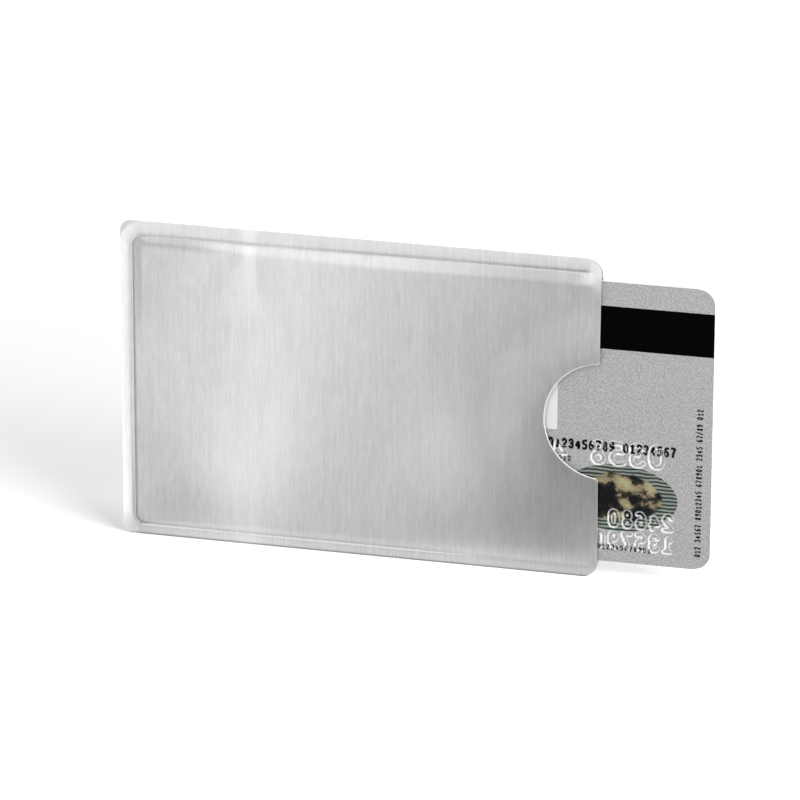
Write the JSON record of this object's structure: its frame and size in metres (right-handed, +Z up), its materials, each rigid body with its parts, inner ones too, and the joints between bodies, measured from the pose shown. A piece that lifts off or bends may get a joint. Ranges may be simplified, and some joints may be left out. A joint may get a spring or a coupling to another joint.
{
  "type": "rfid card sleeve",
  "caption": "Flat welded sleeve of brushed shielding laminate with a thumb notch at its open end, and a standard-size chip card that slides in and out of it.",
  "frame": {"origin": "centre of the whole part's box in X and Y with the card at rest, at the height of the sleeve's bottom edge", "axes": "+X along the card's travel, out of the mouth; +Y through the thickness, towards the back panel; +Z up, from the bottom edge to the top edge"},
  "size_m": [0.112, 0.002, 0.0615],
  "materials": {
    "brushed_film": "brushed along the short side, satin",
    "shield_foil": "plain foil",
    "liner_film": "milky film",
    "weld_plastic": "fused milky film",
    "card_print": "silver flake print under clear laminate",
    "card_core": "white core sheet",
    "magnetic_black": "smooth black magnetic tape",
    "signature_white": "matt writable coating",
    "hologram_foil": null,
    "contact_gold": "gold plated contact fields",
    "capsule_resin": "black moulding resin",
    "antenna_copper": "bare copper track"
  },
  "bodies": {
    "sleeve": {"front_face_film": "brushed_film", "front_shield_foil": "shield_foil", "front_liner_film": "liner_film", "back_face_film": "brushed_film", "back_shield_foil": "shield_foil", "back_liner_film": "liner_film", "closed_end_weld": "weld_plastic", "top_weld": "weld_plastic", "bottom_weld": "weld_plastic"},
    "card": {"card_back_overlay": "card_print", "card_back_sheet": "card_core", "card_inlay": "card_core", "card_front_sheet": "card_core", "card_front_overlay": "card_print", "magnetic_stripe": "magnetic_black", "signature_panel": "signature_white", "hologram_patch": "hologram_foil", "contact_plate": "contact_gold", "chip_capsule": "capsule_resin", "antenna_coil": "antenna_copper"}
  },
  "joints": [
    {"name": "card_slide", "type": "slide", "parent": "sleeve", "child": "card", "axis": [1, 0, 0], "range_m": [-0.0224, 0.066]}
  ]
}
